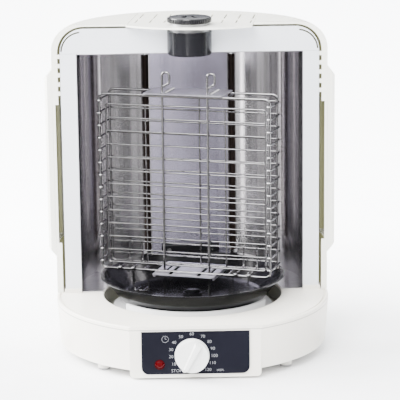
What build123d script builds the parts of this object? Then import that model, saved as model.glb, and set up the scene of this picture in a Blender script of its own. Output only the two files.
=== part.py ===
from build123d import *
import os
from math import cos, radians, sin, sqrt

# Electric skewer grill with an upright basket that turns in front of two heating rods.
# Millimetres.  +Z is up, the open front faces -Y, and the origin is the point of the
# tabletop under the axis on which the basket turns.

os.makedirs("parts", exist_ok=True)

# ---------------------------------------------------------------- driving dimensions
GAP = 0.3                     # air between curved faces that don't touch
CLEAR = 0.05                  # radial play of a running fit

# base
DRUM_R = 159.0                # round base, outer radius at the deck
DRUM_DRAFT = 3.0              # how much the drum narrows at its lower edge
DRUM_BOTTOM = 11.0
SEAM_Z = 57.5                 # seam between lower shell and deck
DECK_Z = 62.0                 # top of the deck
WALL = 2.5                    # moulded wall
FRONT_Y = -141.0              # flat front of the base
PANEL_HALF = 73.0             # half width of the flat front
PANEL_BOTTOM = 2.5
PANEL_DEPTH = 26.0
WELL_R = 104.0                # round well in the deck
WELL_FLOOR = 40.0
FOOT_X, FOOT_Y, FOOT_R = 103.0, 95.0, 7.0
PAD_T = 2.5
GROOVE_R, GROOVE_W, GROOVE_D, GROOVE_FRONT = 156.0, 3.0, 2.0, 112.0    # crescent groove along the deck's sides
LEDGE_H = 4.5                 # step that each front post stands on

INLET_X, INLET_Z, GLAND_R = 60.0, 28.0, 7.6

# control panel
PLATE_W, PLATE_LOW, PLATE_TOP = 120.0, 7.0, 55.8
PLATE_T = 1.6
PLATE_CORNER = 8.0
TIMER_X, TIMER_Z = -4.0, 29.0
KNOB_R, KNOB_DEPTH = 19.1, 9.0
RIDGE_H = 5.0
POINTER_AT = 207.0            # pointer at STOP, clockwise from straight up
SPINDLE_R = 3.0
LAMP_X, LAMP_Z, LAMP_R = -40.0, 18.5, 4.6

# housing
FRAME_Y = 7.6                 # plane of the front frame
OPEN_HALF = 130.5             # half width of the cavity mouth
POST_HALF = 148.8             # outer edge of the posts
BEAM_LOW, BEAM_TOP = 345.0, 373.6
BEAM_CORNER = 27.0
SHEET = 1.6                   # painted front sheet
HOOD_R, HOOD_TOP = 159.0, 378.0
HOOD_ROUND = 30.0
HOOD_WALL = 2.0
BEAM_RETURN, POST_RETURN = 30.0, 24.0      # how far the frame's edges turn back
SLIT_R, SLIT_W = 23.0, 1.8    # arc-shaped slit in each corner of the front frame
RIM_IN = 152.0                # inner edge of the hood's turned-in front rim
HANDLE_OUT = 167.5            # outer face of the side handles
HANDLE_LOW, HANDLE_TOP = 107.0, 326.0
HANDLE_BACK, POCKET_BACK, POCKET_IN = 62.0, 44.0, 140.0
GRIP_LOW, GRIP_TOP, GRIP_IN = 122.0, 286.0, 155.6
RIBS, RIB_Z, RIB_PITCH = 5, 299.0, 10.7

# top
COVER_YAW = 7.0               # the cover stands turned a little on the hood
COVER_HALF, COVER_FRONT, COVER_BACK, NOSE_Y = 72.0, -9.0, 100.6, -32.0
COVER_LOW, COVER_TOP = 375.9, 377.9
VENT_COLUMNS, VENT_PITCH, VENT_MID, VENT_W = 9, 16.6, 2.0, 1.7
FRONT_VENTS, REAR_VENTS = (15.0, 45.0), (54.0, 96.0)     # where the two rows start and end
HOUSING_R, HOUSING_LOW, HOUSING_TOP = 25.5, 343.7, 371.0
TOP_KNOB_R, TOP_KNOB_LOW, TOP_KNOB_TOP = 25.5, 380.5, 387.0
KNURLS = 36
LOCATING_R, BORE_R, MOUNT_R, BOSS_R = 5.0, 9.0, 22.5, 22.0
STRAP_HALF, STRAP_DEEP = 40.0, 24.0      # strap on the beam that carries the cover

# cavity
STEEL = 0.8
REFLECTOR_X, REFLECTOR_BEND, REFLECTOR_Y = 131.0, 77.0, 127.0
REAR_HALF = 47.0
HEATER_X, HEATER_Y, HEATER_R = 52.0, 113.0, 4.0
HEATER_LOW, HEATER_TOP = 76.0, 338.0
BOX_HALF, BOX_TOP, BOX_FRONT = 35.0, 93.0, 111.5

# turntable and pan
SHAFT_R = 4.0
BUSH_R = 8.0
CARRIER_R, CARRIER_Z, CARRIER_T = 93.0, 46.0, 2.5
UPSTAND_TOP, UPSTAND_T, UPSTAND_SPAN, UPSTAND_TURN = 63.5, 3.0, 120.0, 3.4
PAN_Z = 57.7                  # underside of the pan
PAN_T = 1.4
PAN_FLOOR_R, PAN_RIM_R, PAN_RIM_Z = 83.0, 108.0, 85.5
COLLAR_R, COLLAR_H = 11.0, 4.5    # raised collar round the pan's hole
DRIVER_R, LOBE_REACH = 5.5, 8.0

# basket, in its own turned frame: x along the wide side, y towards the back
BASKET_YAW, BASKET_X = 18.0, -2.5
BASKET_W, BASKET_D = 203.0, 39.0
BASKET_LOW, BASKET_TOP = 91.0, 298.0
FRAME_WIRE, CROSS_WIRE, GRID_WIRE, PIN_WIRE = 1.5, 1.0, 0.9, 1.4
CROSS_WIRES, LID_WIRES = 14, 13
CROSS_TOP, CROSS_LOW = 8.0, 9.0
LID_DROP, LID_SIDE = 13.0, 6.0
TOP_PLATE_HALF, TOP_PLATE_D = 47.5, 46.0
LOW_PLATE_HALF, LOW_PLATE_D = 37.0, 62.0
PLATE_SHEET = 1.0
PIN_XS, LOOP_TOP, LOOP_W, LOOP_H, LOOP_BEND = (-26.0, 28.0), 326.0, 8.8, 18.0, 4.2
LID_TRAVEL = 20.0
REAR_WIRE_X = 8.0
STAND_IN, STAND_OUT = 51.5, 70.0
SEAM = 0.1                    # where a bent wire's two ends meet

BASKET = Plane((BASKET_X, 0, 0), x_dir=(cos(radians(BASKET_YAW)), -sin(radians(BASKET_YAW)), 0),
               z_dir=(0, 0, 1))
COVER = Plane((0, 0, 0), x_dir=(cos(radians(COVER_YAW)), -sin(radians(COVER_YAW)), 0),
              z_dir=(0, 0, 1))
FRONT = Plane((0, 0, 0), x_dir=(1, 0, 0), z_dir=(0, -1, 0))     # faces the viewer


def front_at(y):
    """The upright plane at depth y, with its normal towards the viewer."""
    return FRONT.offset(-y)


def save(piece, name):
    piece.part.label = name
    export_step(piece.part, f"parts/{name}.step")


def drum_front(half_width, depth, low, high):
    """Cut away what a full round drum has in front of the flat face."""
    with BuildSketch(Plane.XY.offset(low)) as slab:
        with Locations((0, depth - 30)):
            Rectangle(2 * half_width, 60)
    extrude(slab.sketch, amount=high - low, mode=Mode.SUBTRACT)


def rod(points, radius, bend, plane=Plane.XY):
    """A wire along straight runs with rounded corners, in the frame of plane."""
    with BuildPart() as wire:
        with BuildLine(plane) as route:
            if len(points) > 2:
                FilletPolyline(*points, radius=bend)
            else:
                Line(*points)
        with BuildSketch(Plane(route.line @ 0, z_dir=route.line % 0)):
            Circle(radius)
        sweep(path=route.line)
    add(wire.part)


# ================================================================= base
with BuildPart() as base_lower_shell:
    with BuildSketch(Plane.XY.offset(DRUM_BOTTOM)):
        Circle(DRUM_R - DRUM_DRAFT)
    with BuildSketch(Plane.XY.offset(SEAM_Z)):
        Circle(DRUM_R)
    loft()
    drum_front(DRUM_R, FRONT_Y, DRUM_BOTTOM, SEAM_Z)
    with BuildSketch(front_at(FRONT_Y)) as panel_face:
        with Locations((0, (PANEL_BOTTOM + SEAM_Z) / 2)):
            Rectangle(2 * PANEL_HALF, SEAM_Z - PANEL_BOTTOM)
        fillet(panel_face.vertices().group_by(Axis.Y)[0], 5)
    extrude(amount=-PANEL_DEPTH)
    with BuildSketch(Plane.XY.offset(DRUM_BOTTOM + 2)):
        Circle(DRUM_R - DRUM_DRAFT - WALL)
        with Locations((0, FRONT_Y + WALL - 30)):
            Rectangle(2 * DRUM_R, 60, mode=Mode.SUBTRACT)
    extrude(amount=SEAM_Z, mode=Mode.SUBTRACT)
    with BuildSketch(Plane.XY.offset(DRUM_BOTTOM)):
        Circle(DRUM_R - DRUM_DRAFT - WALL - 6)
        with Locations((0, FRONT_Y + PANEL_DEPTH - 50)):
            Rectangle(2 * DRUM_R, 100, mode=Mode.SUBTRACT)
    extrude(amount=10, mode=Mode.SUBTRACT)
    with BuildSketch(front_at(FRONT_Y + WALL)) as panel_room:
        with Locations((0, (PANEL_BOTTOM + WALL + SEAM_Z) / 2)):
            Rectangle(2 * (PANEL_HALF - WALL), SEAM_Z - PANEL_BOTTOM - WALL)
        fillet(panel_room.vertices().group_by(Axis.Y)[0], 3)
    extrude(amount=-(PANEL_DEPTH - WALL), mode=Mode.SUBTRACT)
    with BuildSketch(front_at(FRONT_Y + WALL)):
        with Locations((TIMER_X, TIMER_Z), (LAMP_X, LAMP_Z)):
            Circle(LAMP_R + 1)
    extrude(amount=WALL, mode=Mode.SUBTRACT)
    with BuildSketch(Plane.XY.offset(DRUM_BOTTOM + 2)):
        with GridLocations(2 * FOOT_X, 2 * FOOT_Y, 2, 2):
            Circle(5)
            Circle(1.6, mode=Mode.SUBTRACT)
    extrude(amount=14)
    with BuildSketch(Plane.XZ.offset(-100)):
        with Locations((INLET_X, INLET_Z)):
            Circle(GLAND_R)
    extrude(amount=-DRUM_R, mode=Mode.SUBTRACT)
save(base_lower_shell, "base_lower_shell")

BOTTOM_T = 2.0
with BuildPart() as base_bottom_plate:
    with BuildSketch(Plane.XY.offset(DRUM_BOTTOM)):
        Circle(DRUM_R - DRUM_DRAFT - WALL - 6 - GAP)
        with Locations((0, FRONT_Y + PANEL_DEPTH + GAP - 50)):
            Rectangle(2 * DRUM_R, 100, mode=Mode.SUBTRACT)
        with GridLocations(2 * FOOT_X, 2 * FOOT_Y, 2, 2):
            Circle(1.8, mode=Mode.SUBTRACT)
        with PolarLocations(60, 12):
            SlotOverall(24, 4, rotation=90, mode=Mode.SUBTRACT)
    extrude(amount=BOTTOM_T)
save(base_bottom_plate, "base_bottom_plate")

with BuildPart() as base_feet:
    with BuildSketch(Plane.XY.offset(PAD_T)):
        Circle(FOOT_R)            # the fifth foot stands under the motor
        with GridLocations(2 * FOOT_X, 2 * FOOT_Y, 2, 2):
            Circle(FOOT_R)
            Circle(3.4, mode=Mode.SUBTRACT)
    extrude(amount=DRUM_BOTTOM - PAD_T)
save(base_feet, "base_feet")

with BuildPart() as foot_pads:
    with BuildSketch():
        Circle(FOOT_R - 0.6)
        with GridLocations(2 * FOOT_X, 2 * FOOT_Y, 2, 2):
            Circle(FOOT_R - 0.6)
    extrude(amount=PAD_T)
    chamfer(foot_pads.edges().group_by(Axis.Z)[0], 0.5)
save(foot_pads, "foot_pads")

with BuildPart() as base_screws:
    with BuildSketch(Plane.XY.offset(DRUM_BOTTOM - 3)):
        with GridLocations(2 * FOOT_X, 2 * FOOT_Y, 2, 2):
            Circle(3.1)
    extrude(amount=3)
    with BuildSketch(Plane.XY.offset(DRUM_BOTTOM)):
        with GridLocations(2 * FOOT_X, 2 * FOOT_Y, 2, 2):
            Circle(1.5)
    extrude(amount=13)
save(base_screws, "base_screws")

with BuildPart() as base_top_deck:
    with BuildSketch(Plane.XY.offset(SEAM_Z)):
        Circle(DRUM_R)
    extrude(amount=DECK_Z - SEAM_Z)
    chamfer(base_top_deck.edges().group_by(Axis.Z)[-1], 1.2)
    drum_front(DRUM_R, FRONT_Y, SEAM_Z, DECK_Z)
    with BuildSketch(Plane.XY.offset(DECK_Z)):
        Circle(GROOVE_R)
        with Locations((0, -GROOVE_W)):
            Circle(GROOVE_R - GROOVE_W, mode=Mode.SUBTRACT)
        with Locations((0, (FRAME_Y - GROOVE_FRONT) / 2)):
            Rectangle(2 * DRUM_R, FRAME_Y + GROOVE_FRONT, mode=Mode.INTERSECT)
    extrude(amount=-GROOVE_D, mode=Mode.SUBTRACT)
    with BuildSketch(Plane.XY.offset(DECK_Z)):
        for side in (-1, 1):
            with Locations((side * (OPEN_HALF + POST_HALF + 1) / 2, FRAME_Y - 0.7)):
                Rectangle(POST_HALF - OPEN_HALF + 1.6, 4.6)
    extrude(amount=LEDGE_H)
    with BuildSketch(Plane.XY.offset(SEAM_Z)):
        Circle(DRUM_R - WALL)
        with Locations((0, FRONT_Y + WALL - 30)):
            Rectangle(2 * DRUM_R, 60, mode=Mode.SUBTRACT)
    extrude(amount=DECK_Z - WALL - SEAM_Z, mode=Mode.SUBTRACT)
    with BuildSketch(Plane.XY.offset(SEAM_Z)):
        Circle(WELL_R)
    extrude(amount=DECK_Z, mode=Mode.SUBTRACT)
    fillet(base_top_deck.edges().filter_by(GeomType.CIRCLE).filter_by(
        lambda e: abs(e.radius - WELL_R) < 0.1 and e.center().Z > DECK_Z - 0.1), 1.2)
save(base_top_deck, "base_top_deck")

with BuildPart() as well_liner:
    with BuildSketch(Plane.XY.offset(WELL_FLOOR)):
        Circle(WELL_R + 2)
    extrude(amount=DECK_Z - WALL - WELL_FLOOR)
    with BuildSketch(Plane.XY.offset(WELL_FLOOR + 2)):
        Circle(WELL_R)
    extrude(amount=DECK_Z, mode=Mode.SUBTRACT)
    with BuildSketch(Plane.XY.offset(WELL_FLOOR)):
        Circle(BUSH_R)
    extrude(amount=DECK_Z, mode=Mode.SUBTRACT)
save(well_liner, "well_liner")

with BuildPart() as shaft_bush:
    with BuildSketch(Plane.XY.offset(WELL_FLOOR)):
        Circle(BUSH_R)
    extrude(amount=2)
    with BuildSketch(Plane.XY.offset(WELL_FLOOR + 2)):
        Circle(BUSH_R + 2)
    extrude(amount=1.2)
    with Locations((0, 0, WELL_FLOOR)):
        Hole(SHAFT_R + CLEAR)
save(shaft_bush, "shaft_bush")

MOTOR_W, MOTOR_LOW, MOTOR_TOP = 50.0, 14.0, 37.0
with BuildPart() as gear_motor:
    with BuildSketch(Plane.XY.offset(MOTOR_LOW)):
        RectangleRounded(MOTOR_W, MOTOR_W, 5)
    extrude(amount=MOTOR_TOP - MOTOR_LOW)
    with BuildSketch(Plane.XY.offset(MOTOR_LOW + 12)):
        Circle(SHAFT_R + CLEAR)
    extrude(amount=MOTOR_TOP, mode=Mode.SUBTRACT)
    fillet(gear_motor.edges().group_by(Axis.Z)[0], 2)
save(gear_motor, "gear_motor")

with BuildPart() as motor_bracket:
    with BuildSketch(Plane.XY.offset(MOTOR_TOP)):
        RectangleRounded(MOTOR_W + 30, MOTOR_W - 10, 4)
        Circle(BUSH_R + 2, mode=Mode.SUBTRACT)
    extrude(amount=WELL_FLOOR - MOTOR_TOP)
save(motor_bracket, "motor_bracket")

with BuildPart() as control_panel_plate:
    with BuildSketch(front_at(FRONT_Y)) as plate_face:
        with Locations((0, (PLATE_LOW + PLATE_TOP) / 2)):
            Rectangle(PLATE_W, PLATE_TOP - PLATE_LOW)
        fillet(plate_face.vertices().group_by(Axis.Y)[0], PLATE_CORNER)
        with Locations((TIMER_X, TIMER_Z)):
            Circle(SPINDLE_R + 2, mode=Mode.SUBTRACT)
        with Locations((LAMP_X, LAMP_Z)):
            Circle(LAMP_R, mode=Mode.SUBTRACT)
    extrude(amount=PLATE_T)
save(control_panel_plate, "control_panel_plate")

PLATE_Y = FRONT_Y - PLATE_T
with BuildPart() as lamp_bezel:
    with BuildSketch(front_at(PLATE_Y)):
        with Locations((LAMP_X, LAMP_Z)):
            Circle(LAMP_R + 0.9)
            Circle(LAMP_R - 0.2, mode=Mode.SUBTRACT)
    extrude(amount=1.0)
save(lamp_bezel, "lamp_bezel")

with BuildPart() as lamp_lens:
    with BuildSketch(front_at(FRONT_Y + 8)):
        with Locations((LAMP_X, LAMP_Z)):
            Circle(LAMP_R - 0.25)
    extrude(amount=8 + PLATE_T + 2.2)
    fillet(lamp_lens.edges().group_by(Axis.Y)[0], 2.0)
save(lamp_lens, "lamp_lens")

TIMER_D = 22.0
with BuildPart() as timer_body:
    with BuildSketch(front_at(FRONT_Y + WALL + TIMER_D)):
        with Locations((TIMER_X, TIMER_Z)):
            RectangleRounded(42, 42, 6)
    extrude(amount=TIMER_D)
    with BuildSketch(front_at(FRONT_Y + WALL + 12)):
        with Locations((TIMER_X, TIMER_Z)):
            Circle(SPINDLE_R + CLEAR)
    extrude(amount=12, mode=Mode.SUBTRACT)
save(timer_body, "timer_body")

# ================================================================= timer knob
KNOB_Y = PLATE_Y - 0.6
with BuildPart() as timer_knob:
    with BuildSketch(front_at(KNOB_Y)):
        with Locations((TIMER_X, TIMER_Z)):
            Circle(KNOB_R)
            with Locations(Location((0, 0), -POINTER_AT)):
                with Locations((0, KNOB_R - 1)):
                    Circle(3.2)
    extrude(amount=3)
    with BuildSketch(front_at(KNOB_Y - 3)):
        with Locations((TIMER_X, TIMER_Z)):
            Circle(KNOB_R - 0.6)
    extrude(amount=KNOB_DEPTH - 3, taper=4)
    with BuildSketch(front_at(KNOB_Y - 3)):
        with Locations(Location((TIMER_X, TIMER_Z), -POINTER_AT)):
            Trapezoid(12, 2 * KNOB_R - 2, 87)
    extrude(amount=KNOB_DEPTH - 3 + RIDGE_H, taper=14)
    with BuildSketch(front_at(KNOB_Y)):
        with Locations((TIMER_X, TIMER_Z)):
            Circle(SPINDLE_R)
    extrude(amount=KNOB_DEPTH - 2, mode=Mode.SUBTRACT)
save(timer_knob, "timer_knob")

with BuildPart() as timer_spindle:
    with BuildSketch(front_at(FRONT_Y + WALL + 11.5)):
        with Locations((TIMER_X, TIMER_Z)):
            Circle(SPINDLE_R)
    extrude(amount=FRONT_Y + WALL + 11.5 - KNOB_Y + KNOB_DEPTH - 2)
save(timer_spindle, "timer_spindle")

# ================================================================= turntable
HUB_LOW, HUB_TOP, HUB_R = WELL_FLOOR + 3.2 + GAP, PAN_Z - 1, 12.0
REST_R = 66.0                 # ring that the pan sits on
with BuildPart() as turntable_carrier:
    with BuildSketch(Plane.XY.offset(CARRIER_Z)):
        Circle(CARRIER_R)
        with PolarLocations(42, 6):
            Circle(9, mode=Mode.SUBTRACT)
    extrude(amount=CARRIER_T)
    with BuildSketch(Plane.XY.offset(CARRIER_Z + CARRIER_T)):
        Circle(CARRIER_R)
        Circle(CARRIER_R - UPSTAND_T, mode=Mode.SUBTRACT)
        for side in (0, 180):
            with Locations(Location((0, 0), side + UPSTAND_TURN)):
                with Locations((CARRIER_R * 0.95, 0)):
                    Rectangle(CARRIER_R, 2 * CARRIER_R * sin(radians(90 - UPSTAND_SPAN / 2)),
                              mode=Mode.SUBTRACT)
    extrude(amount=UPSTAND_TOP - CARRIER_Z - CARRIER_T)
    with BuildSketch(Plane.XY.offset(CARRIER_Z + CARRIER_T)):
        Circle(REST_R)
        Circle(REST_R - UPSTAND_T, mode=Mode.SUBTRACT)
    extrude(amount=PAN_Z - CARRIER_Z - CARRIER_T)
    with BuildSketch(Plane.XY.offset(HUB_LOW)):
        Circle(HUB_R)
    extrude(amount=HUB_TOP - HUB_LOW)
    with BuildSketch(Plane.XY.offset(WELL_FLOOR)):
        Circle(SHAFT_R)
    extrude(amount=PAN_Z, mode=Mode.SUBTRACT)
save(turntable_carrier, "turntable_carrier")

with BuildPart() as drive_shaft:
    with BuildSketch(Plane.XY.offset(MOTOR_LOW + 12.5)):
        Circle(SHAFT_R)
    extrude(amount=HUB_TOP - MOTOR_LOW - 12.5)
save(drive_shaft, "drive_shaft")

with BuildPart() as turntable_driver:
    with BuildSketch(Plane.XY.offset(HUB_TOP)):
        Circle(DRIVER_R)
        SlotOverall(2 * LOBE_REACH, 6.4)
    extrude(amount=9)
    fillet(turntable_driver.edges().group_by(Axis.Z)[-1], 1.2)
save(turntable_driver, "turntable_driver")

with BuildPart() as drip_pan:
    with BuildSketch(Plane.XZ):
        with BuildLine():
            Polyline((COLLAR_R - PAN_T, PAN_Z), (PAN_FLOOR_R - 2, PAN_Z),
                     (PAN_FLOOR_R + 2, PAN_Z + 1.6), (PAN_RIM_R - 4, PAN_RIM_Z - 2),
                     (PAN_RIM_R, PAN_RIM_Z - 1), (PAN_RIM_R, PAN_RIM_Z),
                     (PAN_RIM_R - 4.8, PAN_RIM_Z - 0.6), (PAN_FLOOR_R + 1, PAN_Z + 3.2),
                     (PAN_FLOOR_R - 2.4, PAN_Z + PAN_T), (COLLAR_R, PAN_Z + PAN_T),
                     (COLLAR_R, PAN_Z + COLLAR_H), (COLLAR_R - PAN_T, PAN_Z + COLLAR_H), close=True)
        make_face()
    revolve(axis=Axis.Z)
save(drip_pan, "drip_pan")

# ================================================================= basket
HALF_W, HALF_D = BASKET_W / 2, BASKET_D / 2
FRONT_D = -HALF_D
CROSS_PITCH = (BASKET_TOP - BASKET_LOW - CROSS_TOP - CROSS_LOW) / (CROSS_WIRES - 1)

CORNER_BEND, BUTT = 5.0, 0.02    # wires are cut just past their bends and meet end to end
REAR_LOOP = HALF_D - 2 * CROSS_WIRE - FRAME_WIRE
for name, y in (("basket_front_loop", FRONT_D), ("basket_rear_loop", REAR_LOOP)):
    with BuildPart() as loop:
        low_end, top_end = BASKET_LOW + CORNER_BEND + 1, BASKET_TOP - CORNER_BEND - 1
        for level, end in ((BASKET_LOW, low_end), (BASKET_TOP, top_end)):
            rod([(-HALF_W, y, end), (-HALF_W, y, level), (HALF_W, y, level), (HALF_W, y, end)],
                FRAME_WIRE, CORNER_BEND, BASKET)
        for x in (-HALF_W, HALF_W):
            rod([(x, y, low_end + BUTT), (x, y, top_end - BUTT)], FRAME_WIRE, CORNER_BEND, BASKET)
    save(loop, name)

# cross wires: one run along the back with a bend at each end, and a straight leg at each side
SIDE_X = HALF_W + FRAME_WIRE + CROSS_WIRE + BUTT
CROSS_BEND = 3.5
LEG_END = HALF_D - CROSS_BEND - 1
with BuildPart() as basket_back_wires:
    for row in range(CROSS_WIRES):
        z = BASKET_TOP - CROSS_TOP - row * CROSS_PITCH
        rod([(-SIDE_X, LEG_END, z), (-SIDE_X, HALF_D, z), (SIDE_X, HALF_D, z), (SIDE_X, LEG_END, z)],
            CROSS_WIRE, CROSS_BEND, BASKET)
save(basket_back_wires, "basket_back_wires")

with BuildPart() as basket_side_wires:
    for row in range(CROSS_WIRES):
        z = BASKET_TOP - CROSS_TOP - row * CROSS_PITCH
        for x in (-SIDE_X, SIDE_X):
            rod([(x, FRONT_D - 1, z), (x, LEG_END - BUTT, z)], CROSS_WIRE, CROSS_BEND, BASKET)
save(basket_side_wires, "basket_side_wires")

with BuildPart() as basket_ties:
    for z in (BASKET_LOW, BASKET_TOP):
        for x in (-STAND_IN, STAND_IN):
            rod([(x, FRONT_D + FRAME_WIRE + BUTT, z), (x, REAR_LOOP - FRAME_WIRE - BUTT, z)],
                CROSS_WIRE, CROSS_BEND, BASKET)
    y = HALF_D - 2 * CROSS_WIRE - BUTT
    rod([(REAR_WIRE_X, y, BASKET_LOW + FRAME_WIRE + BUTT), (REAR_WIRE_X, y, BASKET_TOP - FRAME_WIRE - BUTT)],
        CROSS_WIRE, CROSS_BEND, BASKET)
save(basket_ties, "basket_ties")


# slotted plates across both ends of the basket; the lower one has a flange at each side
ENDS = (("basket_top_plate", BASKET_TOP + FRAME_WIRE + 0.05, TOP_PLATE_HALF, TOP_PLATE_D, ()),
        ("basket_bottom_plate", BASKET_LOW - FRAME_WIRE - 0.05 - PLATE_SHEET,
         LOW_PLATE_HALF, LOW_PLATE_D, (-17.0, 17.0)))
for name, z, half, deep, wide_slots in ENDS:
    with BuildPart() as end_plate:
        with BuildSketch(BASKET.offset(z)):
            RectangleRounded(2 * half, deep, 3)
            for x in PIN_XS:
                with Locations((x, -1)):
                    SlotOverall(LID_TRAVEL + 18, 2 * PIN_WIRE + 1.2, rotation=90, mode=Mode.SUBTRACT)
            for x in wide_slots:
                with Locations((x, 0)):
                    SlotOverall(deep - 8, 5, rotation=90, mode=Mode.SUBTRACT)
        extrude(amount=PLATE_SHEET)
        if wide_slots:
            with BuildSketch(BASKET.offset(z)):
                for x in (1 - half, half - 1):
                    with Locations((x, 0)):
                        Rectangle(2, deep - 8)
            extrude(amount=-3)
    save(end_plate, name)

FLOOR_WIRE_X = (-78.0, -62.0, 62.0, 78.0)
with BuildPart() as basket_floor_wires:
    z = BASKET_LOW + FRAME_WIRE + CROSS_WIRE + 0.05
    for x in FLOOR_WIRE_X:
        rod([(x, FRONT_D - 6, z), (x, HALF_D - 8, z), (x, HALF_D - 8, z + 24)], CROSS_WIRE, 4, BASKET)
        with Locations(BASKET.location * Location((x, FRONT_D - 6, z))):
            Sphere(2.4)
save(basket_floor_wires, "basket_floor_wires")

LEG_WIRE = 0.9 * CROSS_WIRE
STAND_FLOOR = PAN_Z + PAN_T + LEG_WIRE + 0.02
with BuildPart() as basket_stand:
    z_top = BASKET_LOW - FRAME_WIRE - CROSS_WIRE - 0.05
    for side in (-1, 1):
        inner, outer = side * STAND_IN, side * STAND_OUT
        rod([(inner, 0, z_top), (inner, 0, STAND_FLOOR), (outer, 0, STAND_FLOOR), (outer, 0, z_top)],
            LEG_WIRE, 4, BASKET)
        for x in (inner + side * 5, outer - side * 5):
            rod([(x, -10, STAND_FLOOR + 1.5 * CROSS_WIRE), (x, 10, STAND_FLOOR + 1.5 * CROSS_WIRE)],
                CROSS_WIRE, 4, BASKET)
        for x in (inner, outer):
            rod([(x, FRONT_D - 1, z_top), (x, HALF_D - 2, z_top)], CROSS_WIRE, 4, BASKET)
save(basket_stand, "basket_stand")

PIN_Y = FRONT_D + FRAME_WIRE + GAP + PIN_WIRE
LID_Y = PIN_Y + PIN_WIRE + GAP + GRID_WIRE + 0.2
LID_TOP, LID_LOW = BASKET_TOP - LID_DROP, BASKET_LOW + 6
LID_HALF = HALF_W - LID_SIDE
LID_PITCH = (LID_TOP - LID_LOW) / (LID_WIRES - 1)
with BuildPart() as basket_lid:
    rod([(SEAM, LID_Y, LID_LOW), (LID_HALF, LID_Y, LID_LOW), (LID_HALF, LID_Y, LID_TOP),
         (-LID_HALF, LID_Y, LID_TOP), (-LID_HALF, LID_Y, LID_LOW), (0, LID_Y, LID_LOW)],
        GRID_WIRE + 0.2, 3, BASKET)
    for row in range(1, LID_WIRES - 1):
        z = LID_LOW + row * LID_PITCH
        rod([(-LID_HALF, LID_Y, z), (LID_HALF, LID_Y, z)], GRID_WIRE, 3, BASKET)
    for x in (-LID_HALF / 3 - 16, LID_HALF / 3 + 16):
        rod([(x, LID_Y + GRID_WIRE, LID_LOW), (x, LID_Y + GRID_WIRE, LID_TOP)], GRID_WIRE, 3, BASKET)
save(basket_lid, "basket_lid")

PIN_LOW = PAN_Z + COLLAR_H + GAP
LOOP_LOW = LOOP_TOP - LOOP_H
for name, x in zip(("left_pin", "right_pin"), PIN_XS):
    with BuildPart() as pin:
        rod([(x, PIN_Y, PIN_LOW), (x, PIN_Y, LOOP_TOP - PIN_WIRE), (x + LOOP_W, PIN_Y, LOOP_TOP - PIN_WIRE),
             (x + LOOP_W, PIN_Y, LOOP_LOW + LOOP_BEND), (x + PIN_WIRE, PIN_Y, LOOP_LOW)],
            PIN_WIRE, LOOP_BEND, BASKET)
    save(pin, name)

# ================================================================= cavity
def reflector_plan(side, inset=0.0):
    """The reflector's line seen from above: straight, a quarter turn, then across the back."""
    x, y = side * (REFLECTOR_X - inset), REFLECTOR_Y - inset
    bend = REFLECTOR_BEND
    start = (x, FRAME_Y + SHEET + 0.1)
    Line(start, (x, y - bend))
    RadiusArc((x, y - bend), (x - side * bend, y), -side * bend)
    Line((x - side * bend, y), (side * REAR_HALF, y))


for name, side in (("left_reflector", -1), ("right_reflector", 1)):
    with BuildPart() as reflector:
        with BuildSketch(Plane.XY.offset(DECK_Z + STEEL)):
            with BuildLine():
                reflector_plan(side)
                Line((side * REAR_HALF, REFLECTOR_Y), (side * REAR_HALF, REFLECTOR_Y - STEEL))
                reflector_plan(side, STEEL)
                Line((side * (REFLECTOR_X - STEEL), FRAME_Y + SHEET + 0.1),
                     (side * REFLECTOR_X, FRAME_Y + SHEET + 0.1))
            make_face()
        extrude(amount=BEAM_LOW - 1 - DECK_Z - STEEL)
    save(reflector, name)

with BuildPart() as rear_reflector:
    with BuildSketch(Plane.XY.offset(DECK_Z + STEEL)):
        with Locations((0, REFLECTOR_Y + 0.1 + STEEL / 2)):
            Rectangle(2 * REAR_HALF + 12, STEEL)
    extrude(amount=BEAM_LOW - 1 - DECK_Z - STEEL)
save(rear_reflector, "rear_reflector")


def cavity_outline(y_front):
    """The cavity's plan: the space between the two side reflectors."""
    half, back = REFLECTOR_X - STEEL - 0.1, REFLECTOR_Y - STEEL - 0.1
    bend = REFLECTOR_BEND - STEEL
    Line((half, y_front), (half, back - bend))
    RadiusArc((half, back - bend), (half - bend, back), -bend)
    Line((half - bend, back), (bend - half, back))
    RadiusArc((bend - half, back), (-half, back - bend), -bend)
    Line((-half, back - bend), (-half, y_front))
    Line((-half, y_front), (half, y_front))


with BuildPart() as cavity_floor:
    with BuildSketch(Plane.XY.offset(DECK_Z)):
        with BuildLine():
            cavity_outline(FRAME_Y + 0.2)
        make_face()
        Circle(WELL_R + 1.5, mode=Mode.SUBTRACT)
    extrude(amount=STEEL)
save(cavity_floor, "cavity_floor")

with BuildPart() as cavity_ceiling:
    with BuildSketch(Plane.XY.offset(BEAM_LOW - 1)):
        with BuildLine():
            cavity_outline(FRAME_Y + SHEET + 0.1)
        make_face()
        Circle(HOUSING_R + 0.6, mode=Mode.SUBTRACT)
    extrude(amount=STEEL)
save(cavity_ceiling, "cavity_ceiling")

for name, side in (("left_heater", -1), ("right_heater", 1)):
    with BuildPart() as heater:
        x = side * HEATER_X
        with BuildSketch(Plane.XY.offset(HEATER_LOW)):
            with Locations((x, HEATER_Y)):
                Circle(HEATER_R)
        extrude(amount=HEATER_TOP - HEATER_LOW)
        with BuildSketch(Plane.XY.offset(HEATER_LOW - 8)):
            with Locations((x, HEATER_Y)):
                Circle(HEATER_R - 1)
        extrude(amount=8)
        with BuildSketch(Plane.XY.offset(HEATER_TOP)):
            with Locations((x, HEATER_Y)):
                Circle(HEATER_R - 1)
        extrude(amount=BEAM_LOW - 1.2 - HEATER_TOP)
    save(heater, name)

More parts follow.
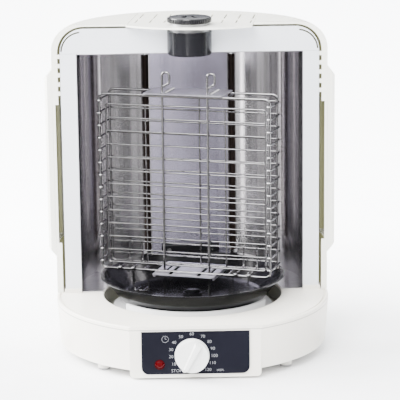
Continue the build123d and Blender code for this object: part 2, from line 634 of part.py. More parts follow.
CLIP_LEVELS = (HEATER_LOW + 6, HEATER_TOP - 10)
with BuildPart() as heater_clips:
    for z in CLIP_LEVELS:
        with BuildSketch(Plane.XY.offset(z)):
            for side in (-1, 1):
                with Locations((side * HEATER_X, HEATER_Y)):
                    Circle(HEATER_R + 1.6)
                with Locations((side * HEATER_X, (HEATER_Y + REFLECTOR_Y - STEEL) / 2)):
                    Rectangle(5, REFLECTOR_Y - STEEL - HEATER_Y - 0.1)
                with Locations((side * HEATER_X, HEATER_Y)):
                    Circle(HEATER_R, mode=Mode.SUBTRACT)
        extrude(amount=4)
save(heater_clips, "heater_clips")

BOX_DEEP = REFLECTOR_Y - STEEL - BOX_FRONT
with BuildPart() as terminal_cover:
    with BuildSketch(Plane.XY.offset(DECK_Z + STEEL)):
        with Locations((0, BOX_FRONT + BOX_DEEP / 2)):
            Rectangle(2 * BOX_HALF, BOX_DEEP)
    extrude(amount=BOX_TOP - DECK_Z - STEEL)
    fillet(terminal_cover.edges().group_by(Axis.Z)[-1].group_by(Axis.Y)[0], 3)
    with BuildSketch(Plane.XY.offset(DECK_Z + STEEL)):
        with Locations((0, BOX_FRONT + 1.5 + BOX_DEEP / 2)):
            Rectangle(2 * BOX_HALF - 3, BOX_DEEP)
    extrude(amount=BOX_TOP - DECK_Z - STEEL - 1.5, mode=Mode.SUBTRACT)
save(terminal_cover, "terminal_cover")

with BuildPart() as terminal_cover_screws:
    with BuildSketch(front_at(BOX_FRONT)):
        for x in (-26, 26):
            with Locations((x, BOX_TOP - 8)):
                Circle(2.6)
    extrude(amount=1.2)
save(terminal_cover_screws, "terminal_cover_screws")

with BuildPart() as terminal_block:
    with BuildSketch(Plane.XY.offset(DECK_Z + STEEL)):
        with Locations((0, BOX_FRONT + BOX_DEEP / 2 + 1)):
            Rectangle(44, 9)
    extrude(amount=18)
save(terminal_block, "terminal_block")

# ================================================================= housing
with BuildPart() as top_beam:
    with BuildSketch(front_at(FRAME_Y + SHEET)) as beam_face:
        with Locations((0, (BEAM_LOW + BEAM_TOP) / 2)):
            Rectangle(2 * POST_HALF, BEAM_TOP - BEAM_LOW)
        fillet(beam_face.vertices().group_by(Axis.Y)[-1], BEAM_CORNER)
        with Locations((0, BEAM_LOW)):
            Rectangle(2 * HOUSING_R, 2 * (BEAM_TOP - BEAM_LOW), mode=Mode.SUBTRACT)
        for side in (-1, 1):
            with BuildLine():
                centre = (side * (POST_HALF - SLIT_R - 1.5), BEAM_LOW + 1.5)
                slit = CenterArc(centre, SLIT_R, 90 - 6 * side, -side * 80)
            SlotArc(slit, SLIT_W, mode=Mode.SUBTRACT)
    extrude(amount=SHEET)
    with BuildSketch(Plane.XY.offset(BEAM_TOP - SHEET)):
        with Locations((0, FRAME_Y + SHEET + BEAM_RETURN / 2)):
            Rectangle(2 * (POST_HALF - BEAM_CORNER), BEAM_RETURN)
        Circle(MOUNT_R + GAP, mode=Mode.SUBTRACT)
    extrude(amount=SHEET)
save(top_beam, "top_beam")

for name, side in (("left_post", -1), ("right_post", 1)):
    with BuildPart() as post:
        middle = side * (OPEN_HALF + POST_HALF) / 2
        with BuildSketch(Plane.XY.offset(DECK_Z + LEDGE_H)):
            with Locations((middle, FRAME_Y + SHEET / 2)):
                Rectangle(POST_HALF - OPEN_HALF, SHEET)
            with Locations((side * (POST_HALF - SHEET / 2), FRAME_Y + SHEET + POST_RETURN / 2)):
                Rectangle(SHEET, POST_RETURN)
        extrude(amount=BEAM_LOW - DECK_Z - LEDGE_H - 0.2)
    save(post, name)

def cover_outline(grow=0.0):
    """The top cover's plan: a rectangle with a curved nose that overhangs the front."""
    half, front, back = COVER_HALF + grow, COVER_FRONT, COVER_BACK + grow
    ThreePointArc((-half, front), (0, NOSE_Y - grow), (half, front))
    Polyline((half, front), (half, back), (-half, back), (-half, front))


with BuildPart() as outer_shell:
    with BuildSketch(Plane.XZ):
        with BuildLine():
            inner, turn_x, turn_z = HOOD_R - HOOD_WALL, HOOD_R - HOOD_ROUND, HOOD_TOP - HOOD_ROUND
            Line((HOOD_R, DECK_Z), (HOOD_R, turn_z))
            RadiusArc((HOOD_R, turn_z), (turn_x, HOOD_TOP), -HOOD_ROUND)
            Polyline((turn_x, HOOD_TOP), (0, HOOD_TOP), (0, HOOD_TOP - HOOD_WALL),
                     (turn_x, HOOD_TOP - HOOD_WALL))
            RadiusArc((turn_x, HOOD_TOP - HOOD_WALL), (inner, turn_z), HOOD_ROUND - HOOD_WALL)
            Polyline((inner, turn_z), (inner, DECK_Z), (HOOD_R, DECK_Z))
        make_face()
    revolve(axis=Axis.Z)
    with BuildSketch(Plane.XY.offset(DECK_Z)):
        with Locations((0, FRAME_Y - 200)):
            Rectangle(2 * DRUM_R + 20, 400)
    extrude(amount=HOOD_TOP, mode=Mode.SUBTRACT)
    with BuildSketch(COVER.offset(HOOD_TOP - 2 * HOOD_WALL)):
        with BuildLine():
            cover_outline(GAP)
        make_face()
    extrude(amount=4 * HOOD_WALL, mode=Mode.SUBTRACT)
    with BuildSketch(front_at(FRAME_Y + SHEET)) as rim:
        with Locations((0, (DECK_Z + HOOD_TOP) / 2)):
            Rectangle(2 * (HOOD_R - HOOD_WALL / 2), HOOD_TOP - DECK_Z)
        fillet(rim.vertices().group_by(Axis.Y)[-1], HOOD_ROUND)
        with BuildSketch(mode=Mode.SUBTRACT) as mouth:
            with Locations((0, (HOOD_TOP - HOOD_WALL) / 2)):
                Rectangle(2 * RIM_IN, HOOD_TOP - HOOD_WALL)
            fillet(mouth.vertices().group_by(Axis.Y)[-1], HOOD_ROUND)
        with Locations((0, HOOD_TOP)):
            Rectangle(2 * (COVER_HALF + 3), 2 * HOOD_WALL, mode=Mode.SUBTRACT)
        for side in (-1, 1):
            for row in range(RIBS):
                with Locations((side * (POST_HALF + RIM_IN + 0.6) / 2, RIB_Z + row * RIB_PITCH)):
                    Rectangle(RIM_IN - POST_HALF, 4.6)
    extrude(amount=SHEET)
    with BuildSketch(Plane.YZ):
        with Locations((FRAME_Y + 20, (GRIP_LOW + GRIP_TOP) / 2)):
            Rectangle(50, GRIP_TOP - GRIP_LOW)
    extrude(amount=2 * DRUM_R, both=True, mode=Mode.SUBTRACT)
    with BuildSketch(front_at(FRAME_Y + SHEET)):
        for side in (-1, 1):
            with Locations((side * (GRIP_IN + HOOD_R - 0.3) / 2, (GRIP_LOW + GRIP_TOP) / 2)):
                Rectangle(HOOD_R - 0.3 - GRIP_IN, GRIP_TOP - GRIP_LOW)
    extrude(amount=SHEET)
save(outer_shell, "outer_shell")

with BuildPart() as top_cover:
    with BuildSketch(COVER.offset(COVER_LOW)):
        with BuildLine():
            cover_outline()
        make_face()
    extrude(amount=COVER_TOP - COVER_LOW)
    fillet(top_cover.edges().group_by(Axis.Z)[-1], 0.6)
    with BuildSketch(COVER.offset(COVER_LOW)):
        Circle(BORE_R)
        for column in range(VENT_COLUMNS):
            x = VENT_MID + (column - (VENT_COLUMNS - 1) / 2) * VENT_PITCH
            for start, end in (FRONT_VENTS, REAR_VENTS):
                if sqrt(x ** 2 + start ** 2) > MOUNT_R + 2:
                    with Locations((x, (start + end) / 2)):
                        SlotOverall(end - start, VENT_W, rotation=90)
    extrude(amount=COVER_TOP - COVER_LOW, mode=Mode.SUBTRACT)
save(top_cover, "top_cover")


# side handles: swellings of the hood, hollow behind the slot between post and hood
HOOD_FACE = HOOD_R + 0.1
HANDLE_SKIN, HANDLE_SLOPE = 2.5, 11.0


def on_hood(side, y):
    """A point of the hood's outer face, seen from above."""
    return (side * sqrt(HOOD_FACE ** 2 - y ** 2), y)


for name, side in (("left_handle", -1), ("right_handle", 1)):
    with BuildPart() as handle:
        with BuildSketch(Plane.XY.offset(HANDLE_LOW)):
            with BuildLine():
                corner = side * HANDLE_OUT
                Polyline(on_hood(side, FRAME_Y), (corner - 3 * side, FRAME_Y), (corner, FRAME_Y + 4),
                         (corner, FRAME_Y + 20), on_hood(side, HANDLE_BACK))
                ThreePointArc(on_hood(side, HANDLE_BACK), on_hood(side, HANDLE_BACK / 2),
                              on_hood(side, FRAME_Y))
            make_face()
        extrude(amount=HANDLE_TOP - HANDLE_LOW)
        with BuildSketch(Plane.XZ):
            for end, way in ((HANDLE_LOW, 1), (HANDLE_TOP, -1)):
                with BuildLine():
                    Polyline((corner + side, end - way), (corner - 9 * side, end - way),
                             (corner + side, end + way * HANDLE_SLOPE), close=True)
                make_face()
        extrude(amount=-2 * HANDLE_BACK, mode=Mode.SUBTRACT)
        with BuildSketch(Plane.XY.offset(GRIP_LOW + 2)):
            with BuildLine():
                skin = side * (HANDLE_OUT - HANDLE_SKIN)
                Polyline((side * POCKET_IN, FRAME_Y + 3), (skin, FRAME_Y + 3), (skin, FRAME_Y + 18),
                         (side * GRIP_IN, POCKET_BACK), (side * POCKET_IN, POCKET_BACK), close=True)
            make_face()
        extrude(amount=GRIP_TOP - GRIP_LOW - 4, mode=Mode.SUBTRACT)
    save(handle, name)

with BuildPart() as bearing_housing:
    with BuildSketch(Plane.XY.offset(HOUSING_LOW)):
        Circle(HOUSING_R)
        Circle(LOCATING_R + CLEAR, mode=Mode.SUBTRACT)
    extrude(amount=HOUSING_TOP - HOUSING_LOW)
    chamfer(bearing_housing.edges().filter_by(GeomType.CIRCLE).group_by(Axis.Z)[0].sort_by(
        lambda e: e.radius)[-1], 1.5)
save(bearing_housing, "bearing_housing")

with BuildPart() as bearing_mount:
    with BuildSketch(Plane.XY.offset(HOUSING_TOP)):
        Circle(MOUNT_R)
        Circle(BORE_R, mode=Mode.SUBTRACT)
    extrude(amount=COVER_LOW - HOUSING_TOP)
    with BuildSketch(Plane.XY.offset(BEAM_TOP)):
        with Locations((0, FRAME_Y + SHEET + 1 + STRAP_DEEP / 2)):
            RectangleRounded(2 * STRAP_HALF, STRAP_DEEP, 3)
        Circle(BORE_R, mode=Mode.SUBTRACT)
    extrude(amount=COVER_LOW - BEAM_TOP)
save(bearing_mount, "bearing_mount")

with BuildPart() as knob_boss:
    with BuildSketch(Plane.XY.offset(COVER_TOP)):
        Circle(BOSS_R)
        Circle(BORE_R, mode=Mode.SUBTRACT)
    extrude(amount=TOP_KNOB_LOW - COVER_TOP)
save(knob_boss, "knob_boss")

with BuildPart() as top_knob:
    with BuildSketch(Plane.XY.offset(TOP_KNOB_LOW)):
        Circle(TOP_KNOB_R)
        with PolarLocations(TOP_KNOB_R + 0.2, KNURLS):
            Circle(0.9, mode=Mode.SUBTRACT)
    extrude(amount=TOP_KNOB_TOP - TOP_KNOB_LOW)
    with BuildSketch(Plane.XY.offset(TOP_KNOB_TOP - 3)):
        Circle(10)
    extrude(amount=4, mode=Mode.SUBTRACT)
    with BuildSketch(Plane.XY.offset(TOP_KNOB_LOW)):
        Circle(LOCATING_R)
    extrude(amount=8, mode=Mode.SUBTRACT)
save(top_knob, "top_knob")

with BuildPart() as locating_pin:
    with BuildSketch(Plane.XY.offset(HOUSING_LOW + 0.5)):
        Circle(LOCATING_R)
    extrude(amount=TOP_KNOB_TOP - 2 - HOUSING_LOW)
    chamfer(locating_pin.edges().group_by(Axis.Z)[0], 1.5)
save(locating_pin, "locating_pin")

with BuildPart() as cord_gland:
    with BuildSketch(Plane.XZ.offset(-(sqrt(DRUM_R ** 2 - INLET_X ** 2) - 10))):
        with Locations((INLET_X, INLET_Z)):
            Circle(GLAND_R - CLEAR)
            Circle(3.6, mode=Mode.SUBTRACT)
    extrude(amount=-13)
save(cord_gland, "cord_gland")

with BuildPart() as thermal_cutout:
    with BuildSketch(Plane.XY.offset(BEAM_LOW - 1 + STEEL)):
        with Locations((0, 80)):
            Circle(9)
    extrude(amount=8)
save(thermal_cutout, "thermal_cutout")
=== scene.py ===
"""Electric skewer grill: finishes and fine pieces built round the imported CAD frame.

The file is laid out as an add-on and run as a script.  Metres, +Z up, the open front faces -Y.
"""

import math

import bmesh
import bpy
from mathutils import Matrix, Vector


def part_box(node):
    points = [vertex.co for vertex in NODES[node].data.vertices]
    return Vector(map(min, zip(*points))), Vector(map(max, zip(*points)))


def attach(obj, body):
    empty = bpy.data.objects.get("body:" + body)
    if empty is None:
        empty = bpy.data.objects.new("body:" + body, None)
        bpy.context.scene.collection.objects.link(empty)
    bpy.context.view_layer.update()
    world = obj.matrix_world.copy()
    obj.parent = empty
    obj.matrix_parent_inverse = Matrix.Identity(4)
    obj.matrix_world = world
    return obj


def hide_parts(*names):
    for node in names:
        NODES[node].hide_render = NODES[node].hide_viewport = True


bl_info = {
    "name": "Skewer Grill",
    "version": (1, 0, 0),
    "blender": (4, 5, 0),
    "location": "3D View > Sidebar > Grill",
    "description": "Dresses the CAD frame of an upright electric skewer grill",
    "category": "Object",
}

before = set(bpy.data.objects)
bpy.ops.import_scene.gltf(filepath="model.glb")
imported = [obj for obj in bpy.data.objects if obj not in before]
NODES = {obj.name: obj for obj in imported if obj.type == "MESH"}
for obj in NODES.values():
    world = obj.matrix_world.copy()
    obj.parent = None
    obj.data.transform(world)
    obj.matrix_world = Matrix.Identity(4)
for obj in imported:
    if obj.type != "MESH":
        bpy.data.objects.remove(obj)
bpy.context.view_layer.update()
MM = 0.001
PLATE_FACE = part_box("control_panel_plate")[0][1]       # front face of the control panel
TAU = 2 * math.pi
SHARP = 0.6                    # radians between two faces from which their edge is drawn sharp

# the basket's own frame: x along its wide side, y towards its back
BASKET = Matrix.Translation((-2.5 * MM, 0, 0)) @ Matrix.Rotation(math.radians(-18.0), 4, "Z")


# ------------------------------------------------------------------ settings
def size(name, text, value, low=0.0):
    return bpy.props.FloatProperty(name=name, description=text, default=value, min=low, max=1.0,
                                   subtype="DISTANCE", unit="LENGTH")


def colour(name, text, value):
    return bpy.props.FloatVectorProperty(name=name, description=text, default=value, size=3,
                                         min=0.0, max=1.0, subtype="COLOR")


def amount(name, text, value, unit="NONE"):
    return bpy.props.FloatProperty(name=name, description=text, default=value, min=0.0, unit=unit)


class GrillColours(bpy.types.PropertyGroup):
    shell: colour("Shell", "Moulded base and deck", (0.74, 0.71, 0.64))
    hood: colour("Hood", "Outside of the hood, its cover and the handles", (0.78, 0.775, 0.70))
    # painted shade: this olive stands for the shade inside the hood and its handles' hollows
    hood_inside_shade: colour("Hood inside", "Unlit inner side of the hood", (0.24, 0.24, 0.12))
    front_frame: colour("Front frame", "Posts and beam round the open front", (0.62, 0.64, 0.68))
    panel: colour("Panel", "Control panel behind the timer knob", (0.0045, 0.0047, 0.0080))
    knob: colour("Timer knob", "Moulded timer knob", (0.70, 0.70, 0.69))
    print_ink: colour("Print", "Numbers printed round the timer", (0.25, 0.25, 0.27))
    lamp: colour("Lamp", "Pilot lamp's lens", (0.045, 0.0006, 0.0015))
    enamel: colour("Pan enamel", "Glossy enamel of the drip pan", (0.0026, 0.0026, 0.0030))
    black_moulding: colour("Black moulding", "Bearing housing and top knob", (0.005, 0.005, 0.006))
    steel: colour("Polished steel", "Side reflectors", (0.78, 0.76, 0.78))
    rear_steel: colour("Rear steel", "Flat reflector behind the basket", (0.56, 0.53, 0.66))
    wire: colour("Wire", "Chromed wire of the basket", (0.26, 0.255, 0.26))
    heater: colour("Heating rod", "Heat-browned sheath", (0.026, 0.017, 0.014))


class GrillSizes(bpy.types.PropertyGroup):
    knob_x: size("Knob X", "Centre of the timer knob across the panel", -4 * MM, low=-0.05)
    knob_z: size("Knob height", "Centre of the timer knob above the table", 29 * MM)
    digits: size("Digit height", "Height of the printed numbers", 3.5 * MM)
    ink: size("Ink", "How far the print stands proud of the panel", 0.05 * MM)


class GrillStage(bpy.types.PropertyGroup):
    key: amount("Key light", "Power of the soft light at the front", 110.0, "POWER")
    fill: amount("Fill light", "Power of the softer light at the side", 8.0, "POWER")
    window: amount("Window light", "Power of the wide light at the left", 230.0, "POWER")
    daylight: amount("Daylight", "Strength of the wide even light", 7.0)
    sky: amount("Surroundings", "Strength of the white surroundings", 3.8)
    backlight: amount("Backlight", "How much the table glows far behind", 5.0)
    floor: colour("Floor", "The pale surface that the grill stands on", (0.92, 0.925, 0.94))


def colours():
    return bpy.context.scene.grill_colours


def sizes():
    return bpy.context.scene.grill_sizes


# ------------------------------------------------------------------ node trees
class Nodes:
    """A node tree being built."""

    def add(self, kind, feeds=(), **settings):
        """A new node; what feeds its inputs is a value or another node's output."""
        node = self.tree.nodes.new(kind)
        for name, value in settings.items():
            setattr(node, name, value)
        for socket, value in dict(feeds).items():
            if isinstance(value, bpy.types.NodeSocket):
                self.tree.links.new(value, node.inputs[socket])
            else:
                node.inputs[socket].default_value = value
        return node


# ------------------------------------------------------------------ materials
class Finish(Nodes):
    """A material being made: one Principled shader and the nodes that feed it."""

    def __init__(self, name, base, rough, **sockets):
        self.material = bpy.data.materials.new(name)
        self.material.use_nodes = True
        self.tree = self.material.node_tree
        self.shader = self.tree.nodes["Principled BSDF"]
        self.base = (*base, 1.0)
        self.shader.inputs["Base Color"].default_value = self.base
        self.shader.inputs["Roughness"].default_value = rough
        for socket, value in sockets.items():
            self.shader.inputs[socket.replace("_", " ")].default_value = value
        self.place = self.add("ShaderNodeTexCoord").outputs["Object"]

    def stretched(self, x, y, z):
        """Object coordinates scaled along each axis, so that grain can run along a surface."""
        return self.add("ShaderNodeMapping", {"Vector": self.place, "Scale": (x, y, z)}).outputs[0]

    def noise(self, scale, detail=3.0, coords=None):
        """Cloudy noise; scale is the number of features in a metre."""
        return self.add("ShaderNodeTexNoise", {"Vector": coords or self.place, "Scale": scale,
                                               "Detail": detail}).outputs["Fac"]

    def between(self, value, low, high, start=0.3, end=0.7):
        """value from start to end becomes low to high."""
        return self.add("ShaderNodeMapRange", {"Value": value, "From Min": start, "From Max": end,
                                               "To Min": low, "To Max": high}).outputs[0]

    def maths(self, operation, a, b=0.0):
        return self.add("ShaderNodeMath", {0: a, 1: b}, operation=operation).outputs[0]

    def where(self, *tests):
        """1 where every (operation, value, limit) holds, and 0 elsewhere."""
        result = 1.0
        for test in tests:
            result = self.maths("MULTIPLY", self.maths(*test), result)
        return result

    def mixed(self, factor, a, b):
        """Colour a where factor is 0, b where it is 1."""
        return self.add("ShaderNodeMix", {0: factor, 6: a, 7: b}, data_type="RGBA").outputs[2]

    def tinted(self, factor, light):
        """The base colour, multiplied by light where factor is 1."""
        lit = (min(1.0, c * light) for c in self.base[:3])
        return self.mixed(factor, self.base, (*lit, 1.0))

    def feed(self, name, socket):
        """Let a node's output drive the shader's input of that name."""
        self.tree.links.new(socket, self.shader.inputs[name])

    def colour(self, socket):
        self.feed("Base Color", socket)

    def rough(self, socket):
        self.feed("Roughness", socket)

    def relief(self, height, depth, strength=1.0):
        """A bump of depth metres."""
        bump = self.add("ShaderNodeBump", {"Height": height, "Strength": strength,
                                           "Distance": depth})
        self.feed("Normal", bump.outputs[0])


def moulded(name, base, rough, grain=0.00003, patch=0.95):
    """Moulded plastic: fine spark-eroded grain and faint patches of gloss and tint."""
    finish = Finish(name, base, rough, Specular_IOR_Level=0.45)
    finish.colour(finish.tinted(finish.between(finish.noise(14.0), 0.0, 1.0), patch))
    finish.rough(finish.between(finish.noise(60.0), rough - 0.05, rough + 0.07))
    finish.relief(finish.noise(2600.0, 2.0), grain)
    return finish


def enamelled(name, base, rough, peel=0.00005):
    """Sprayed and baked enamel on sheet: orange peel under a clear gloss."""
    finish = Finish(name, base, rough, Coat_Weight=0.35, Coat_Roughness=0.12)
    finish.colour(finish.tinted(finish.between(finish.noise(9.0), 0.0, 1.0), 0.96))
    finish.rough(finish.between(finish.noise(40.0), rough - 0.04, rough + 0.06))
    finish.relief(finish.noise(420.0, 2.0), peel)
    return finish


def polished(name, base, rough, haze=0.05, grain=(1, 1, 1), depth=0.00001):
    """Bright sheet or wire: metal with faint rubbing marks along grain."""
    finish = Finish(name, base, rough, Metallic=1.0)
    run = finish.stretched(*grain)
    finish.colour(finish.tinted(finish.between(finish.noise(90.0, 4.0, run), 0.0, 1.0), 0.90))
    finish.rough(finish.between(finish.noise(150.0, 4.0, run), rough, rough + haze))
    finish.relief(finish.noise(900.0, 3.0, run), depth)
    return finish


def brushed(name, base, rough):
    """Sheet brushed across, so that what it reflects is drawn out upwards and downwards."""
    finish = Finish(name, base, rough, Metallic=1.0)
    run = finish.stretched(3.0, 3.0, 0.03)
    finish.colour(finish.tinted(finish.between(finish.noise(60.0, 4.0, run), 0.0, 1.0), 0.88))
    finish.rough(finish.between(finish.noise(40.0, 4.0, run), rough, rough + 0.05))
    finish.shader.inputs["Anisotropic"].default_value = 0.95
    finish.shader.inputs["Anisotropic Rotation"].default_value = 0.25
    around = finish.add("ShaderNodeTangent", direction_type="RADIAL", axis="Z")
    finish.feed("Tangent", around.outputs[0])
    return finish


def hood_enamel():
    """Ivory enamel outside; the hood's unlit lining and the handles' hollows are painted a dull
    olive as painted shade, and glow faintly as painted light.
    """
    tones = colours()
    finish = enamelled("ivory_enamel", tones.hood, 0.34)
    x, y, z = finish.add("ShaderNodeSeparateXYZ", {0: finish.place}).outputs
    flat = finish.add("ShaderNodeCombineXYZ", {0: x, 1: y}).outputs[0]
    radius = finish.add("ShaderNodeVectorMath", {0: flat}, operation="LENGTH").outputs["Value"]
    # inside the hood's wall, behind its front rim and under its roof
    lining = finish.where(("LESS_THAN", radius, 0.1576), ("GREATER_THAN", y, 0.0094),
                          ("LESS_THAN", z, 0.3765))
    # the hollows' back wall, which slants at the outer side, their skin, floor and roof
    out = finish.maths("ABSOLUTE", x)
    slant = finish.maths("ADD", y, finish.maths("MULTIPLY", out, 2.0))
    hollow = finish.where(("LESS_THAN", slant, 0.3556), ("LESS_THAN", y, 0.0444),
                          ("LESS_THAN", out, 0.1653), ("GREATER_THAN", y, 0.0104),
                          ("GREATER_THAN", z, 0.1258), ("LESS_THAN", z, 0.2822))
    # of both, only what faces the grill's axis
    facing = finish.add("ShaderNodeTexCoord").outputs["Normal"]
    outwards = finish.add("ShaderNodeVectorMath", {0: facing, 1: flat}, operation="DOT_PRODUCT")
    inwards = finish.maths("LESS_THAN", outwards.outputs["Value"], 0.002)
    shade_and_glow = finish.maths("MULTIPLY", finish.maths("MAXIMUM", lining, hollow), inwards)
    # stands for the light that pale sheets scatter into so narrow a gap
    finish.feed("Emission Strength", finish.maths("MULTIPLY", shade_and_glow, 0.16))
    finish.shader.inputs["Emission Color"].default_value = (1.0, 0.97, 0.55, 1.0)
    outer = finish.shader.inputs["Base Color"].links[0].from_socket
    # painted shade: olive in place of the ivory where the lining and the hollows face the axis
    finish.colour(finish.mixed(shade_and_glow, outer, (*tones.hood_inside_shade, 1.0)))
    return finish


def heating_rod():
    """Steel sheath browned by heat in long uneven bands."""
    finish = Finish("browned_sheath", colours().heater, 0.42, Metallic=0.85)
    bands = finish.noise(26.0, 4.0, finish.stretched(1.0, 1.0, 0.5))
    finish.colour(finish.tinted(finish.between(bands, 0.0, 1.0), 0.45))
    finish.rough(finish.between(finish.noise(220.0), 0.34, 0.55))
    finish.relief(finish.noise(1400.0, 3.0), 0.00004)
    return finish


def lamp_lens():
    finish = Finish("red_lens", colours().lamp, 0.12, Specular_IOR_Level=0.12)
    finish.colour(finish.tinted(finish.between(finish.noise(500.0), 0.0, 1.0), 0.6))
    finish.relief(finish.noise(300.0, 1.0), 0.00003)
    return finish


def pan_enamel():
    """Glossy black enamel with a little dust and slight waves."""
    finish = Finish("black_enamel", colours().enamel, 0.16, Specular_IOR_Level=0.22)
    finish.colour(finish.tinted(finish.between(finish.noise(35.0, 5.0), 0.0, 1.0), 2.2))
    finish.rough(finish.between(finish.noise(120.0, 5.0), 0.09, 0.17))
    finish.relief(finish.noise(60.0, 1.0), 0.00003)
    return finish


def dress(material, *names):
    """Give CAD nodes a finish."""
    for name in names:
        materials = NODES[name].data.materials
        materials.clear()
        materials.append(material)


# ------------------------------------------------------------------ meshes
def new_object(name, mesh):
    thing = bpy.data.objects.new(name, mesh)
    bpy.context.scene.collection.objects.link(thing)
    return thing


def from_bmesh(name, bm, material, smooth=False):
    bmesh.ops.recalc_face_normals(bm, faces=bm.faces)
    for edge in bm.edges:
        edge.smooth = len(edge.link_faces) != 2 or edge.calc_face_angle() < SHARP
    mesh = bpy.data.meshes.new(name)
    bm.to_mesh(mesh)
    bm.free()
    mesh.materials.append(material)
    for face in mesh.polygons:
        face.use_smooth = smooth
    return new_object(name, mesh)


def printed(words, height, centre, depth, material, name):
    """Flat printed words on the panel, centred at (x, z), as a mesh facing the viewer."""
    capital = 0.69                 # a capital's height in the type's size
    thinner = 0.018                # taken off each side of a stroke, in the printed height
    curve = bpy.data.curves.new(name, "FONT")
    curve.body = words
    curve.size = height / capital
    curve.align_x, curve.align_y = "CENTER", "CENTER"
    curve.extrude, curve.offset = depth / 2, -thinner * height
    curve.resolution_u = 3
    writing = new_object(name + "_curve", curve)
    evaluated = writing.evaluated_get(bpy.context.evaluated_depsgraph_get())
    mesh = bpy.data.meshes.new_from_object(evaluated)
    bpy.data.objects.remove(writing)
    lift = Matrix.Translation((centre[0], PLATE_FACE - depth / 2, centre[1]))
    mesh.transform(lift @ Matrix.Rotation(math.pi / 2, 4, "X"))
    mesh.materials.clear()
    mesh.materials.append(material)
    return new_object(name, mesh)


def ring(name, centre, y, outer, inner, depth, material, steps=64):
    """A flat washer facing the viewer."""
    bm = bmesh.new()
    loops = []
    for radius, at in ((outer, y), (outer, y - depth), (inner, y - depth), (inner, y)):
        loops.append([bm.verts.new((centre[0] + radius * math.sin(TAU * i / steps), at,
                                    centre[1] + radius * math.cos(TAU * i / steps)))
                      for i in range(steps)])
    for a, b in zip(loops, loops[1:] + loops[:1]):
        for i in range(steps):
            j = (i + 1) % steps
            bm.faces.new((a[i], a[j], b[j], b[i]))
    return from_bmesh(name, bm, material)


def turned(bm, profile, steps=128):
    """Turn a closed profile of (radius, height) round the upright axis."""
    loops = [[bm.verts.new((r * math.cos(TAU * i / steps), r * math.sin(TAU * i / steps), z))
              for i in range(steps)] for r, z in profile]
    for a, b in zip(loops, loops[1:] + loops[:1]):
        for i in range(steps):
            j = (i + 1) % steps
            bm.faces.new((a[i], a[j], b[j], b[i]))


def block(bm, low, high):
    """A bar with its corners at low and high, its long edges broken."""
    made = bmesh.ops.create_cube(bm, size=1.0)["verts"]
    for vert in made:
        vert.co = Vector(low[k] + (vert.co[k] + 0.5) * (high[k] - low[k]) for k in range(3))
    edges = {e for v in made for e in v.link_edges}
    bmesh.ops.bevel(bm, geom=list(edges), offset=0.15 * MM, segments=2, profile=0.5, affect="EDGES")


class Growth(Nodes):
    """A Geometry Nodes tree being built, with a named input for every size that it takes."""

    def __init__(self, name, **dims):
        self.name, self.dims = name, dims
        self.tree = bpy.data.node_groups.new(name, "GeometryNodeTree")
        plug = self.tree.interface.new_socket
        plug("Geometry", in_out="INPUT", socket_type="NodeSocketGeometry")
        kinds = {int: "NodeSocketInt", float: "NodeSocketFloat", tuple: "NodeSocketVector"}
        for label, value in dims.items():
            plug(label, in_out="INPUT", socket_type=kinds[type(value)])
        plug("Material", in_out="INPUT", socket_type="NodeSocketMaterial")
        plug("Geometry", in_out="OUTPUT", socket_type="NodeSocketGeometry")
        self.given = self.add("NodeGroupInput").outputs

    def planted(self, points, piece):
        """piece on each of the points, as real mesh."""
        many = self.add("GeometryNodeInstanceOnPoints", {"Points": points, "Instance": piece})
        return self.add("GeometryNodeRealizeInstances", {"Geometry": many.outputs[0]}).outputs[0]

    def grown(self, geometry, bm, material, place=None, smooth=True):
        """The tree's result round what bm holds, as a plain mesh object."""
        whole = self.add("GeometryNodeJoinGeometry")
        for part in (self.given["Geometry"], geometry):
            self.tree.links.new(part, whole.inputs[0])
        real = self.add("GeometryNodeRealizeInstances", {"Geometry": whole.outputs[0]})
        painted = self.add("GeometryNodeSetMaterial", {"Geometry": real.outputs[0],
                                                       "Material": self.given["Material"]})
        self.add("NodeGroupOutput", {"Geometry": painted.outputs[0]})
        source = from_bmesh(self.name + "_source", bm, material)
        modifier = source.modifiers.new(self.name, "NODES")
        modifier.node_group = self.tree
        for item in self.tree.interface.items_tree:
            if item.in_out == "INPUT" and item.name in self.dims:
                modifier[item.identifier] = self.dims[item.name]
            elif item.in_out == "INPUT" and item.name == "Material":
                modifier[item.identifier] = material
        evaluated = source.evaluated_get(bpy.context.evaluated_depsgraph_get())
        mesh = bpy.data.meshes.new_from_object(evaluated)
        bpy.data.objects.remove(source)
        bpy.data.node_groups.remove(self.tree)
        if place is not None:
            mesh.transform(place)
        for face in mesh.polygons:
            face.use_smooth = smooth
        mesh.set_sharp_from_angle(angle=SHARP)
        return new_object(self.name, mesh)


def bar(bm, start, end, width, y, depth):
    """A thin flat stroke on the panel from start to end, both (x, z)."""
    along = Vector((end[0] - start[0], 0, end[1] - start[1]))
    side = Vector((-along.z, 0, along.x)).normalized() * width / 2
    corners = [Vector((p[0], y, p[1])) + s * side for p, s in
               ((start, 1), (start, -1), (end, -1), (end, 1))]
    near = [bm.verts.new(c - Vector((0, depth, 0))) for c in corners]
    far = [bm.verts.new(c) for c in corners]
    bm.faces.new(near)
    bm.faces.new(far[::-1])
    for i in range(4):
        j = (i + 1) % 4
        bm.faces.new((near[j], near[i], far[i], far[j]))


